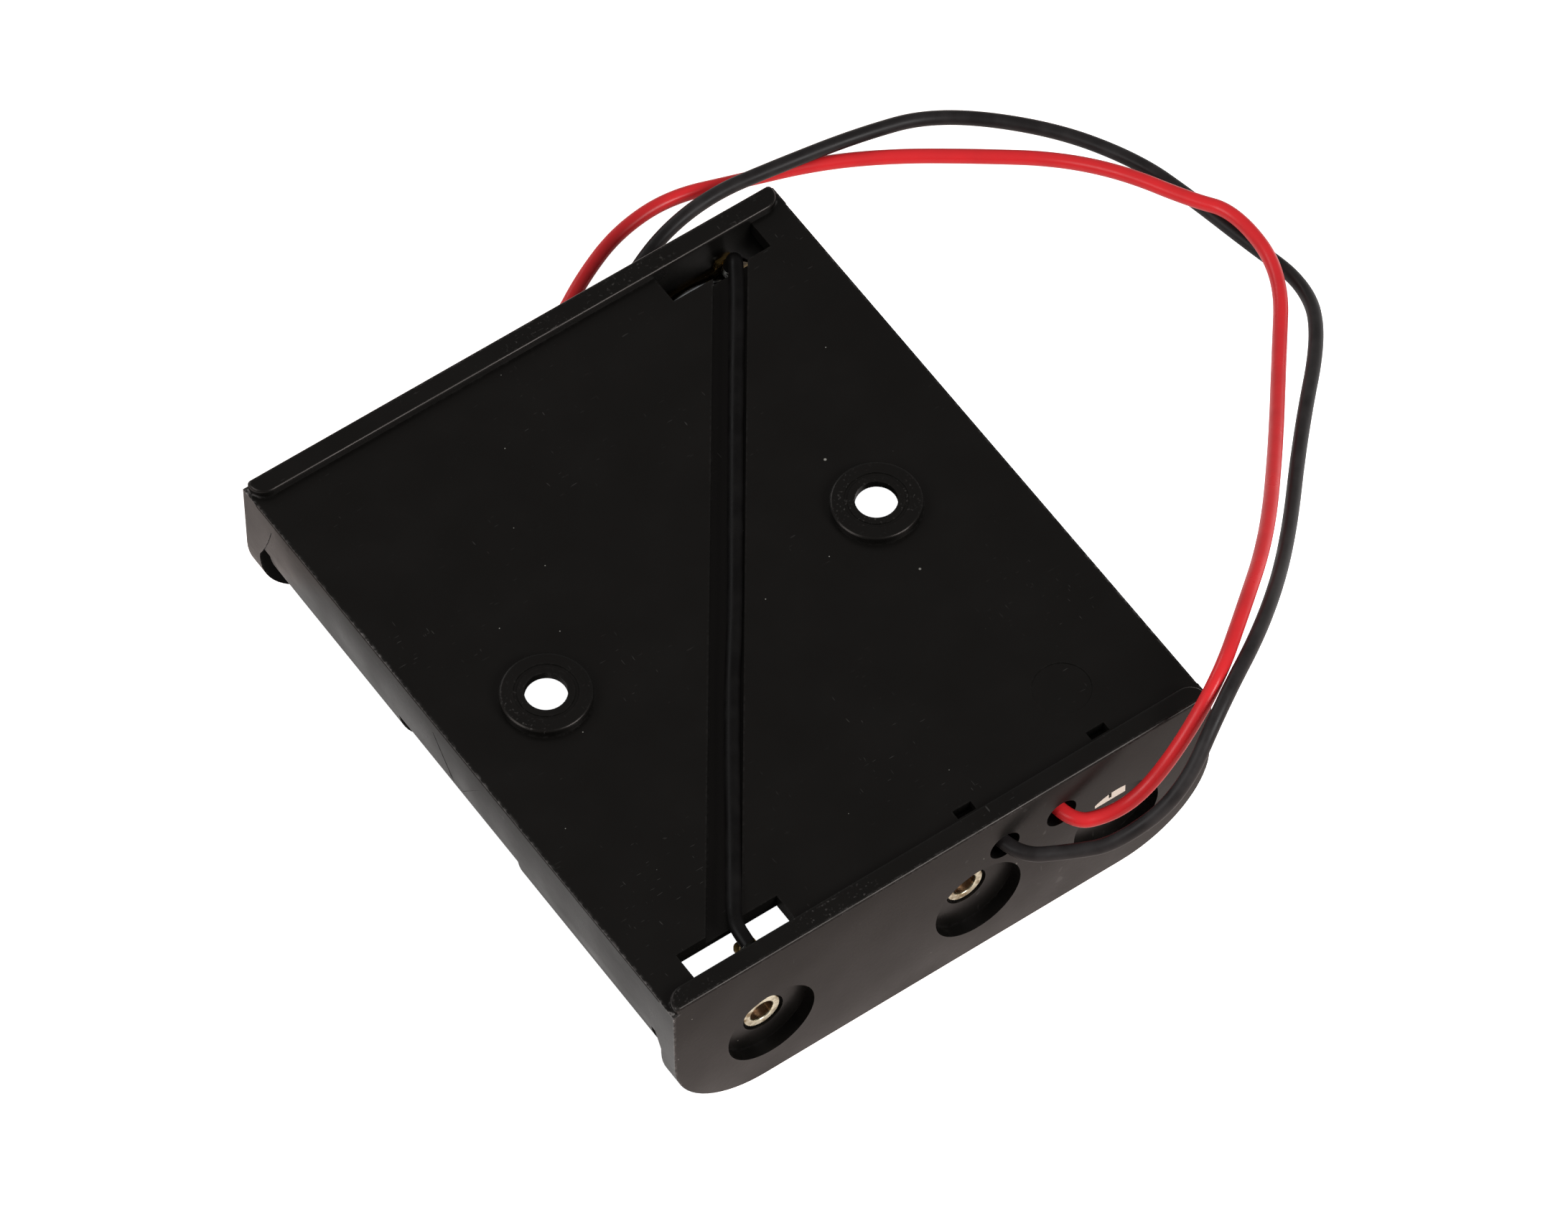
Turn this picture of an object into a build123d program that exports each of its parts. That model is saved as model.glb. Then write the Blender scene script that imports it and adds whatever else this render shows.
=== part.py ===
# Open holder for three cylindrical cells lying side by side, moulded in one piece,
# with riveted contacts in its end walls and two flying leads.
# It lies as it is shown: its underside up, the rims of its open side on the table.
# X runs across the cells, Y along them (the wired end is -Y), Z is up from the table.
from build123d import *
from math import atan2, cos, degrees, pi, radians, sin, sqrt, tan
import os

os.makedirs("parts", exist_ok=True)

# Cells: the sizes that the whole holder follows
cell_diameter = 14.5
cell_length = 50.5
cell_pitch = 15.0
cell_side_gap = 0.3
spring_room = 2.9

# Moulded tray
side_wall = 1.9
end_wall = 1.8
floor_thickness = 1.4
tray_height = 15.2
end_corner_radius = 8.1
edge_rounding = 0.25
lip_height = 0.75
lip_end_inset = 0.3
lip_corner_radius = 1.4
lip_outer_corner_radius = 0.35

# Side walls: a low wall all along, with two spring fingers that curl in round the cell
side_inset = 0.05
low_rim_drop = 5.3
finger_rim_drop = 8.6
finger_bend_drop = 4.5
finger_bend_radius = 8.1
finger_inner_end = 8.0
finger_slit = 1.4
gusset_width = 2.2
gusset_drop = 6.6
mark_depth = 0.02
mark_half_width = 3.6
mark_foot_half_width = 0.4
mark_top_drop = 1.0
mark_foot_reach = 1.0

# Ridges between the cells
ridge_clearance = 0.25
ridge_top_rise = 2.85
ridge_flare_rise = 5.75
ridge_end_gap = 2.5

# Screw bosses on the underside
boss_diameter = 7.15
boss_left_x = -16.2
boss_right_x = 14.0
screw_hole_diameter = 3.3
screw_land = 0.7
boss_ring_radius = 2.2
boss_ring_width = 0.3
boss_ring_depth = 0.08

# Wire groove across the underside and the slots at its two ends
slot_length = 9.05
slot_width = 2.65
slot_center_x = 16.65
groove_width = 2.65
groove_depth = 0.85
groove_near_x = -16.9
groove_far_x = 17.4

# Small features of the underside
core_hole_length = 1.65
core_hole_width = 0.8
core_hole_xs = (3.6, 15.8)
core_hole_edge_gap = 0.4
core_hole_floor = 0.4
ejector_mark_diameter = 4.6
ejector_mark_depth = 0.06
ejector_mark_x = 15.85
ejector_mark_y = -21.55

# Rivets and the round pockets they sit in
pocket_diameter = 7.8
pocket_depth = 1.1
rivet_recess_diameter = 3.6
rivet_recess_depth = 0.35
rivet_head_diameter = 3.3
rivet_head_thickness = 0.35
rivet_rim_thickness = 0.22
rivet_rounding = 0.13
rivet_barrel_diameter = 2.4
rivet_bore_diameter = 2.0
rivet_hole_clearance = 0.05
near_rivet_x = -15.75
near_clip_x = 15.8
spring_rivet_offset = 3.1
spring_rivet_shift = 0.35
spring_rivet_lift = 0.75

# Contacts, all cut from one sheet
sheet_thickness = 0.3
plus_plate_width = 8.6
plus_plate_height = 8.4
plus_plate_corner = 1.0
spring_plate_width = 12.6
spring_plate_height = 11.1
spring_plate_corner = 3.4
bridge_height = 6.0
near_tag_x = -16.2
near_tag_width = 1.8
near_tag_gap = 0.85
near_tag_fold = 1.45
near_tag_corner = 0.5
far_tag_x = 18.45
far_tag_foot_width = 2.4
far_tag_width = 1.4
far_tag_drop = 2.3
far_tag_taper = 1.6
eyelet_diameter = 2.7
eyelet_hole_diameter = 0.85
clip_width = 2.8
clip_foot_rise = 1.45
clip_length = 1.95
clip_split = 0.25
clip_play = 0.1
button_diameter = 3.2
button_height = 0.5

# Springs and the two lugs that hold each one down
spring_wire = 0.65
spring_base_diameter = 10.4
spring_tip_diameter = 5.6
spring_rise = 6.4
spring_turns = 3.5
lug_width = 1.6
lug_play = 0.05
lug_reach = 0.9
lug_angles = (-45, -135)

# Wires and their soldered ends
lead_diameter = 1.2
strand_diameter = 0.7
lead_hole_diameter = 2.7
red_exit_x = 10.7
red_exit_rise = 5.15
black_exit_x = 5.5
black_exit_rise = 5.35
tinned_end_length = 5.0
solder_radius = 1.1
jumper_play = 0.02
jumper_near_gap = 0.42
jumper_far_gap = 0.97
jumper_far_shift = 0.1
jumper_far_drop = 0.2
jumper_solder_radius = 0.7
run_share = 0.45

# Where the jumper bends: its share of the way along the groove, how far it lies
# to the side of the groove's middle, and how far it is lifted off the bottom
jumper_bends = (
    (0.004, 0.78, 0.42),
    (0.05, 0.7, 0.3),
    (0.1, 0.66, 0.08),
    (0.15, 0.62, 0),
    (0.24, 0.5, 0),
    (0.36, 0.44, 0),
    (0.47, 0.6, 0),
    (0.62, 0.55, 0),
    (0.8, 0.5, 0),
    (0.93, 0.52, 0),
    (0.975, 0.5, 0.01),
    (1.022, 0.38, 0.04),
)

# Worked out from the sizes above
cell_radius = cell_diameter / 2
inner_half_width = cell_pitch + cell_radius + cell_side_gap
tray_width = 2 * (inner_half_width + side_wall)
inner_length = cell_length + spring_room + 2 * sheet_thickness
tray_length = inner_length + 2 * end_wall
half_width = tray_width / 2
half_length = tray_length / 2
half_inner = inner_length / 2
floor_inside = tray_height - floor_thickness
cell_axis_height = floor_inside - cell_radius
side_face_x = half_width - side_inset
low_rim_height = tray_height - low_rim_drop
finger_rim_height = tray_height - finger_rim_drop
finger_bend_height = tray_height - finger_bend_drop
gusset_foot_height = tray_height - gusset_drop
mark_top_height = tray_height - mark_top_drop
mark_foot_height = low_rim_height - mark_foot_reach
ridge_top_height = cell_axis_height + ridge_top_rise
ridge_flare_height = cell_axis_height + ridge_flare_rise
slot_inner_y = half_inner - slot_width
ridge_x = cell_pitch / 2
bay_radius = cell_radius + ridge_clearance
contact_face_y = half_inner - sheet_thickness
pocket_floor_y = half_length - pocket_depth
rivet_seat_y = pocket_floor_y - rivet_recess_depth
near_pocket_xs = (near_rivet_x, spring_rivet_offset, near_clip_x)
far_pocket_xs = (spring_rivet_offset - cell_pitch, 0, cell_pitch - spring_rivet_offset)
spring_rivet_height = cell_axis_height + spring_rivet_lift
near_rivets = (
    (near_pocket_xs[0], cell_axis_height),
    (near_pocket_xs[1] - spring_rivet_shift, spring_rivet_height),
)
far_rivets = (
    (far_pocket_xs[0] - spring_rivet_shift, spring_rivet_height),
    (far_pocket_xs[1], cell_axis_height),
    (far_pocket_xs[2] + spring_rivet_shift, spring_rivet_height),
)
rivet_hole_radius = rivet_barrel_diameter / 2 + rivet_hole_clearance
clip_foot_height = cell_axis_height + clip_foot_rise
clip_top_height = clip_foot_height + clip_length
red_exit = (red_exit_x, cell_axis_height + red_exit_rise)
black_exit = (black_exit_x, cell_axis_height + black_exit_rise)
near_tag_height = tray_height - near_tag_gap
far_tag_height = tray_height - far_tag_drop
jumper_height = tray_height - groove_depth + lead_diameter / 2 + jumper_play
groove_start = Vector(groove_near_x, -slot_inner_y)
groove_end = Vector(groove_far_x, slot_inner_y)


def cross_plane(y):
    """An upright plane across the cells: its x is the tray's X and its y is the tray's Z."""
    return Plane(origin=(0, y, 0), x_dir=(1, 0, 0), z_dir=(0, -1, 0))


def long_plane(x):
    """An upright plane along the cells: its x is the tray's Y and its y is the tray's Z."""
    return Plane(origin=(x, 0, 0), x_dir=(0, 1, 0), z_dir=(1, 0, 0))


def finish(name, builder):
    """Label a finished piece and write it to its own file."""
    builder.part.label = name
    export_step(builder.part, f"parts/{name}.step")


def wall_section(rim_height):
    """Cross section of a side wall, curling in below the height where it bends."""
    bend_x = side_face_x - finger_bend_radius
    rim_x = bend_x + sqrt(finger_bend_radius**2 - (finger_bend_height - rim_height) ** 2)
    with BuildSketch() as section:
        with BuildLine():
            Polyline(
                (rim_x, rim_height),
                (inner_half_width, rim_height),
                (inner_half_width, tray_height),
                (side_face_x, tray_height),
                (side_face_x, finger_bend_height),
            )
            RadiusArc((side_face_x, finger_bend_height), (rim_x, rim_height), finger_bend_radius)
        make_face()
    return section.sketch


# The tray: floor, end walls, side walls, ridges and bosses in one moulding
slit_start = half_inner - finger_slit
with BuildPart() as tray:
    with BuildSketch(Plane.XY.offset(floor_inside)):
        Rectangle(tray_width, tray_length)
    extrude(amount=floor_thickness)
    fillet(edges().filter_by(Axis.Y).group_by(Axis.Z)[-1], edge_rounding)

    # End wall with big round corners towards the open side, and the lip on its top
    with BuildSketch(cross_plane(-half_inner)):
        with Locations((0, tray_height / 2)):
            Rectangle(tray_width, tray_height)
        fillet(vertices().group_by(Axis.Y)[0], end_corner_radius)
    extrude(amount=end_wall)
    with BuildSketch(Plane.XY.offset(tray_height)):
        with Locations((0, -half_inner - end_wall / 2)):
            Rectangle(tray_width - 2 * lip_end_inset, end_wall)
        fillet(vertices().group_by(Axis.Y)[-1], lip_corner_radius)
        fillet(vertices().group_by(Axis.Y)[0], lip_outer_corner_radius)
    extrude(amount=lip_height)
    fillet(faces().sort_by(Axis.Z)[-1].edges(), edge_rounding)

    # Low side wall from the middle to the end wall, one finger, and the gusset in the corner
    with BuildSketch(cross_plane(0)):
        add(wall_section(low_rim_height))
    extrude(amount=half_inner)
    with BuildSketch(cross_plane(-finger_inner_end)):
        add(wall_section(finger_rim_height))
    extrude(amount=slit_start - finger_inner_end)
    with BuildSketch(long_plane(inner_half_width)):
        with BuildLine():
            Polyline(
                (-half_inner + gusset_width, tray_height - edge_rounding),
                (-half_inner, tray_height - edge_rounding),
                (-half_inner, gusset_foot_height),
            )
            RadiusArc(
                (-half_inner, gusset_foot_height),
                (-half_inner + gusset_width, tray_height - edge_rounding),
                -3 * finger_bend_radius,
            )
        make_face()
    extrude(amount=side_wall)

    # A shallow three-cornered mark in the middle of each side wall, left by the mould insert
    with BuildSketch(long_plane(side_face_x)):
        with BuildLine():
            Polyline(
                (0, mark_foot_height),
                (-mark_foot_half_width, mark_foot_height),
                (-mark_foot_half_width, low_rim_height),
                (-mark_half_width, mark_top_height),
                (0, mark_top_height),
                close=True,
            )
        make_face()
    extrude(amount=-mark_depth, mode=Mode.SUBTRACT)
    mirror(about=Plane.YZ)
    mirror(about=Plane.XZ)

    # Ridges that part the cells, hollow-sided to follow them
    with BuildSketch(cross_plane(half_inner - ridge_end_gap)):
        for side in (-1, 1):
            top_half = ridge_x - sqrt(bay_radius**2 - (ridge_top_height - cell_axis_height) ** 2)
            flare_half = ridge_x - sqrt(bay_radius**2 - (ridge_flare_height - cell_axis_height) ** 2)
            center = side * ridge_x
            with BuildLine():
                Polyline(
                    (center - flare_half, ridge_flare_height),
                    (center - flare_half, floor_inside),
                    (center + flare_half, floor_inside),
                    (center + flare_half, ridge_flare_height),
                )
                RadiusArc(
                    (center + flare_half, ridge_flare_height),
                    (center + top_half, ridge_top_height),
                    -bay_radius,
                )
                Line((center + top_half, ridge_top_height), (center - top_half, ridge_top_height))
                RadiusArc(
                    (center - top_half, ridge_top_height),
                    (center - flare_half, ridge_flare_height),
                    -bay_radius,
                )
            make_face()
    extrude(amount=inner_length - 2 * ridge_end_gap)

    # Bosses, level with the lips, with their screw holes opened out on the cell side
    with BuildSketch(Plane.XY.offset(tray_height)):
        with Locations((boss_left_x, 0), (boss_right_x, 0)):
            Circle(boss_diameter / 2)
    extrude(amount=lip_height)
    boss_rims = edges().group_by(Axis.Z)[-1].filter_by(GeomType.CIRCLE)
    fillet(boss_rims.filter_by(lambda rim: abs(rim.radius - boss_diameter / 2) < 0.01), edge_rounding)
    with BuildSketch(Plane.XY.offset(tray_height + lip_height)):
        with Locations((boss_left_x, 0), (boss_right_x, 0)):
            Circle(boss_ring_radius + boss_ring_width)
            Circle(boss_ring_radius, mode=Mode.SUBTRACT)
    extrude(amount=-boss_ring_depth, mode=Mode.SUBTRACT)
    sink_depth = floor_thickness + lip_height - screw_land
    for boss_x in (boss_left_x, boss_right_x):
        with Locations((boss_x, 0, tray_height)):
            Cylinder(screw_hole_diameter / 2, 3 * floor_thickness, mode=Mode.SUBTRACT)
        with Locations((boss_x, 0, floor_inside + sink_depth / 2)):
            Cone(
                screw_hole_diameter / 2 + sink_depth,
                screw_hole_diameter / 2,
                sink_depth,
                mode=Mode.SUBTRACT,
            )

    # Slots through the floor beside the end walls, and the wire groove between them
    slot_center_y = half_inner - slot_width / 2
    with BuildSketch(Plane.XY.offset(tray_height)):
        with Locations((-slot_center_x, -slot_center_y), (slot_center_x, slot_center_y)):
            Rectangle(slot_length, slot_width)
    extrude(amount=-floor_thickness, mode=Mode.SUBTRACT)
    with BuildSketch(Plane.XY.offset(tray_height)):
        for hole_x in core_hole_xs:
            with Locations((hole_x, -half_inner + core_hole_edge_gap + core_hole_width / 2)):
                Rectangle(core_hole_length, core_hole_width)
    extrude(amount=core_hole_floor - floor_thickness, mode=Mode.SUBTRACT)
    groove_run = groove_end - groove_start
    groove_angle = degrees(atan2(groove_run.Y, groove_run.X))
    with BuildSketch(Plane.XY.offset(tray_height)):
        with Locations(Location((groove_start + groove_end) * 0.5, (0, 0, groove_angle))):
            Rectangle(groove_run.length + groove_width, groove_width)
    extrude(amount=-groove_depth, mode=Mode.SUBTRACT)
    with BuildSketch(Plane.XY.offset(tray_height)):
        with Locations((ejector_mark_x, ejector_mark_y)):
            Circle(ejector_mark_diameter / 2)
    extrude(amount=-ejector_mark_depth, mode=Mode.SUBTRACT)

    # Pockets for the rivets, and the holes for rivets, leads and clip through what is left
    for side, pocket_xs, rivet_spots in ((-1, near_pocket_xs, near_rivets), (1, far_pocket_xs, far_rivets)):
        with BuildSketch(cross_plane(side * half_length)):
            with Locations(*((x, cell_axis_height) for x in pocket_xs)):
                Circle(pocket_diameter / 2)
        extrude(amount=side * pocket_depth, mode=Mode.SUBTRACT)
        with BuildSketch(cross_plane(side * pocket_floor_y)):
            with Locations(*rivet_spots):
                Circle(rivet_recess_diameter / 2)
        extrude(amount=side * rivet_recess_depth, mode=Mode.SUBTRACT)
        with BuildSketch(cross_plane(side * half_length)):
            with Locations(*rivet_spots):
                Circle(rivet_hole_radius)
        extrude(amount=side * end_wall, mode=Mode.SUBTRACT)
    with BuildSketch(cross_plane(-half_inner)):
        with Locations(red_exit, black_exit):
            Circle(lead_hole_diameter / 2)
        with Locations((near_clip_x, clip_foot_height + sheet_thickness / 2)):
            Rectangle(clip_width + 2 * clip_play, sheet_thickness + 2 * clip_play)
    extrude(amount=end_wall, mode=Mode.SUBTRACT)

finish("tray", tray)


def contact_plane(x, side):
    """A plane on the inner face of a contact: its z points to the middle and its y down."""
    return Plane(origin=(x, side * contact_face_y, cell_axis_height), x_dir=(-side, 0, 0), z_dir=(0, -side, 0))


def plate(x, width, height, corner):
    """Outline of the flat part of a contact, centred on a cell or near it."""
    with BuildSketch() as outline:
        with Locations((x, cell_axis_height)):
            RectangleRounded(width, height, corner)
    return outline.sketch


def eyelet(center, plate_x):
    """Outline of the ear of a contact that lies over the hole of a lead."""
    reach = Vector(plate_x, cell_axis_height) - Vector(*center)
    with BuildSketch() as outline:
        with Locations(center):
            SlotCenterPoint((reach.X / 4, reach.Y / 4), (reach.X / 2, reach.Y / 2), eyelet_diameter)
    return outline.sketch


# One spring and its pair of lugs, drawn on a contact whose face is the XY plane
with BuildPart() as coil:
    with BuildSketch(Plane.XZ):
        with Locations((spring_base_diameter / 2, spring_wire / 2)):
            RegularPolygon(spring_wire / 2, 8, major_radius=False, rotation=22.5)
    revolve(axis=Axis.Z)
    spring_taper = (spring_base_diameter - spring_tip_diameter) / 2
    with BuildLine():
        turns = Helix(
            pitch=spring_rise / spring_turns,
            height=spring_rise,
            radius=spring_base_diameter / 2,
            center=(0, 0, spring_wire / 2),
            cone_angle=-degrees(atan2(spring_taper, spring_rise)),
        )
    with BuildSketch(Plane(origin=turns @ 0, z_dir=turns % 0)):
        RegularPolygon(spring_wire / 2, 8, major_radius=False)
    sweep(path=turns, is_frenet=True)

with BuildPart() as lugs:
    leg_x = (spring_base_diameter + spring_wire) / 2 + lug_play
    flap_z = spring_wire + lug_play
    for angle in lug_angles:
        lug_plane = Plane(origin=(0, 0, 0), x_dir=(cos(radians(angle)), sin(radians(angle)), 0),
                          z_dir=(sin(radians(angle)), -cos(radians(angle)), 0))
        with BuildSketch(lug_plane):
            with BuildLine():
                Polyline(
                    (leg_x, 0),
                    (leg_x, flap_z),
                    (leg_x - lug_reach, flap_z),
                    (leg_x - lug_reach, flap_z + sheet_thickness),
                    (leg_x + sheet_thickness, flap_z + sheet_thickness),
                    (leg_x + sheet_thickness, 0),
                    close=True,
                )
            make_face()
        extrude(amount=lug_width / 2, both=True)


# Riveted contact of the first cell, with a tag that is folded in under the jumper
with BuildPart() as plus_plate_near_1:
    with BuildSketch(cross_plane(-half_inner)):
        add(plate(near_rivet_x, plus_plate_width, plus_plate_height, plus_plate_corner))
        with Locations((near_tag_x, (cell_axis_height + near_tag_height) / 2)):
            Rectangle(near_tag_width, near_tag_height - cell_axis_height)
        with Locations(near_rivets[0]):
            Circle(rivet_hole_radius, mode=Mode.SUBTRACT)
    extrude(amount=-sheet_thickness)
    with BuildSketch(Plane.XY.offset(near_tag_height)):
        with Locations((near_tag_x, -half_inner + near_tag_fold / 2)):
            Rectangle(near_tag_width, near_tag_fold)
        fillet(vertices().group_by(Axis.Y)[-1], near_tag_corner)
    extrude(amount=-sheet_thickness)
finish("plus_plate_near_1", plus_plate_near_1)

# Spring contact of the middle cell, with the eyelet of the black lead
with BuildPart() as spring_plate_near_2:
    with BuildSketch(cross_plane(-half_inner)):
        add(plate(0, spring_plate_width, spring_plate_height, spring_plate_corner))
        add(eyelet(black_exit, 0))
        with Locations(near_rivets[1]):
            Circle(rivet_hole_radius, mode=Mode.SUBTRACT)
        with Locations(black_exit):
            Circle(eyelet_hole_diameter / 2, mode=Mode.SUBTRACT)
    extrude(amount=-sheet_thickness)
    with Locations(contact_plane(0, -1).location):
        add(lugs.part)
finish("spring_plate_near_2", spring_plate_near_2)

# Contact of the third cell, with the eyelet of the red lead, held by its own folded clip
with BuildPart() as plus_plate_near_3:
    with BuildSketch(cross_plane(-half_inner)):
        add(plate(near_clip_x, plus_plate_width, plus_plate_height, plus_plate_corner))
        add(eyelet(red_exit, near_clip_x))
        with Locations(red_exit):
            Circle(eyelet_hole_diameter / 2, mode=Mode.SUBTRACT)
        with Locations((near_clip_x, clip_foot_height + sheet_thickness + clip_length / 2)):
            Rectangle(clip_width, clip_length, mode=Mode.SUBTRACT)
    extrude(amount=-sheet_thickness)
    with BuildSketch(long_plane(near_clip_x)):
        with BuildLine():
            Polyline(
                (-half_inner, clip_foot_height),
                (-pocket_floor_y - sheet_thickness, clip_foot_height),
                (-pocket_floor_y - sheet_thickness, clip_top_height),
                (-pocket_floor_y, clip_top_height),
                (-pocket_floor_y, clip_foot_height + sheet_thickness),
                (-half_inner, clip_foot_height + sheet_thickness),
                close=True,
            )
        make_face()
    extrude(amount=clip_width / 2, both=True)
    with BuildSketch(cross_plane(-half_length)):
        with Locations((near_clip_x, clip_foot_height + sheet_thickness + clip_length / 2)):
            Rectangle(clip_split, clip_length)
    extrude(amount=-pocket_depth, mode=Mode.SUBTRACT)
    with Locations(contact_plane(cell_pitch, -1).location):
        Cylinder(button_diameter / 2, button_height, align=(Align.CENTER, Align.CENTER, Align.MIN))
    with Locations(contact_plane(cell_pitch, -1).location * Location((0, 0, -sheet_thickness))):
        Cylinder(
            button_diameter / 2 - sheet_thickness,
            button_height,
            align=(Align.CENTER, Align.CENTER, Align.MIN),
            mode=Mode.SUBTRACT,
        )
finish("plus_plate_near_3", plus_plate_near_3)

# Bridge at the far end: spring contact of the first cell joined to the contact of the middle one
with BuildPart() as bridge_plate_far:
    with BuildSketch(cross_plane(half_inner)):
        add(plate(-cell_pitch, spring_plate_width, spring_plate_height, spring_plate_corner))
        add(plate(0, plus_plate_width, plus_plate_height, plus_plate_corner))
        with Locations((-ridge_x, cell_axis_height)):
            Rectangle(cell_pitch, bridge_height)
        with Locations(*far_rivets[:2]):
            Circle(rivet_hole_radius, mode=Mode.SUBTRACT)
    extrude(amount=sheet_thickness)
    with Locations(contact_plane(-cell_pitch, 1).location):
        add(lugs.part)
finish("bridge_plate_far", bridge_plate_far)

# Spring contact of the third cell, with a tapered tag for the other end of the jumper
with BuildPart() as spring_plate_far_3:
    with BuildSketch(cross_plane(half_inner)):
        add(plate(cell_pitch, spring_plate_width, spring_plate_height, spring_plate_corner))
        with BuildLine():
            Polyline(
                (far_tag_x - far_tag_foot_width / 2, cell_axis_height),
                (far_tag_x - far_tag_foot_width / 2, far_tag_height - far_tag_taper),
                (far_tag_x - far_tag_width / 2, far_tag_height),
                (far_tag_x + far_tag_width / 2, far_tag_height),
                (far_tag_x + far_tag_foot_width / 2, far_tag_height - far_tag_taper),
                (far_tag_x + far_tag_foot_width / 2, cell_axis_height),
                close=True,
            )
        make_face()
        with Locations(far_rivets[2]):
            Circle(rivet_hole_radius, mode=Mode.SUBTRACT)
    extrude(amount=sheet_thickness)
    with Locations(contact_plane(cell_pitch, 1).location):
        add(lugs.part)
finish("spring_plate_far_3", spring_plate_far_3)

# Springs
for name, x, side in (
    ("spring_near_2", 0, -1),
    ("spring_far_1", -cell_pitch, 1),
    ("spring_far_3", cell_pitch, 1),
):
    with BuildPart() as spring:
        with Locations(contact_plane(x, side).location):
            add(coil.part)
    finish(name, spring)

# Tubular rivets: the open end is rolled out in the pocket, the closed one faces the cell
for name, (x, z), side in (
    ("rivet_near_1", near_rivets[0], -1),
    ("rivet_near_2", near_rivets[1], -1),
    ("rivet_far_1", far_rivets[0], 1),
    ("rivet_far_2", far_rivets[1], 1),
    ("rivet_far_3", far_rivets[2], 1),
):
    inner_tip = contact_face_y - rivet_head_thickness
    outer_tip = rivet_seat_y + rivet_rim_thickness
    with BuildPart() as rivet:
        with BuildSketch(Plane.XY.offset(z)):
            with BuildLine():
                Polyline(
                    (x, side * inner_tip),
                    (x + rivet_head_diameter / 2, side * inner_tip),
                    (x + rivet_head_diameter / 2, side * contact_face_y),
                    (x + rivet_barrel_diameter / 2, side * contact_face_y),
                    (x + rivet_barrel_diameter / 2, side * rivet_seat_y),
                    (x + rivet_head_diameter / 2, side * rivet_seat_y),
                    (x + rivet_head_diameter / 2, side * outer_tip),
                    (x + rivet_bore_diameter / 2, side * outer_tip),
                    (x + rivet_bore_diameter / 2, side * contact_face_y),
                    (x, side * contact_face_y),
                    close=True,
                )
            make_face()
        revolve(axis=Axis((x, 0, z), (0, 1, 0)))
        tips = edges().group_by(Axis.Y)
        fillet(tips[0] + tips[-1], rivet_rounding)
    finish(name, rivet)


def tube(points, diameter):
    """Straight runs joined by arcs, each as round as the shorter run at its corner allows."""
    runs = [Vector(*b) - Vector(*a) for a, b in zip(points, points[1:])]
    radii = []
    for run, after in zip(runs, runs[1:]):
        half_turn = radians(run.get_angle(after)) / 2
        radii.append(run_share * min(run.length, after.length) / tan(half_turn))
    with BuildPart() as wire:
        with BuildLine():
            path = FilletPolyline(*points, radius=radii)
        with BuildSketch(Plane(origin=path @ 0, z_dir=path % 0)):
            Circle(diameter / 2)
        sweep(path=path)
    ratio = wire.part.volume / (pi * diameter**2 / 4 * path.length)
    print(f"wire of {diameter} mm, {path.length:.1f} mm long, radii {min(radii):.1f} to")
    print(f"  {max(radii):.1f} mm, its volume over section times length {ratio:.4f}")
    return wire


# Jumper: it lies in the groove, bows up out of it onto the folded tag at the near end
# and dips down to the tapered tag at the far end; solder holds it to both
groove_side = Vector(groove_run.Y, -groove_run.X).normalized()
jumper_route = [
    tuple(groove_start + groove_run * share + groove_side * shift + Vector(0, 0, jumper_height + lift))
    for share, shift, lift in jumper_bends
]
near_jumper_end = (near_tag_x, jumper_near_gap - half_inner, near_tag_height + lead_diameter / 2 + jumper_play)
far_jumper_end = (far_tag_x + jumper_far_shift, half_inner - jumper_far_gap, far_tag_height - jumper_far_drop)
jumper_wire = tube([near_jumper_end, *jumper_route, far_jumper_end], lead_diameter)
finish("jumper_wire", jumper_wire)
for name, center, side in (
    ("jumper_solder_near", near_jumper_end, -1),
    ("jumper_solder_far", far_jumper_end, 1),
):
    with BuildPart() as solder:
        with Locations((center[0], center[1], center[2] - lead_diameter / 2)):
            Sphere(jumper_solder_radius)
        split(bisect_by=Plane.XZ.offset(-side * contact_face_y), keep=Keep.BOTTOM if side < 0 else Keep.TOP)
        if side < 0:
            split(bisect_by=Plane.XY.offset(near_tag_height), keep=Keep.TOP)
        add(jumper_wire.part, mode=Mode.SUBTRACT)
    finish(name, solder)

# Solder of the leads: the bared strands through the eyelet and a drop over them
for name, (x, z) in (("lead_solder_red", red_exit), ("lead_solder_black", black_exit)):
    with BuildPart() as solder:
        with Locations((x, -contact_face_y, z)):
            Sphere(solder_radius)
        split(bisect_by=Plane.XZ.offset(contact_face_y), keep=Keep.BOTTOM)
        with BuildSketch(cross_plane(-contact_face_y)):
            with Locations((x, z)):
                Circle(strand_diameter / 2)
        extrude(amount=sheet_thickness)
    finish(name, solder)

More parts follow.
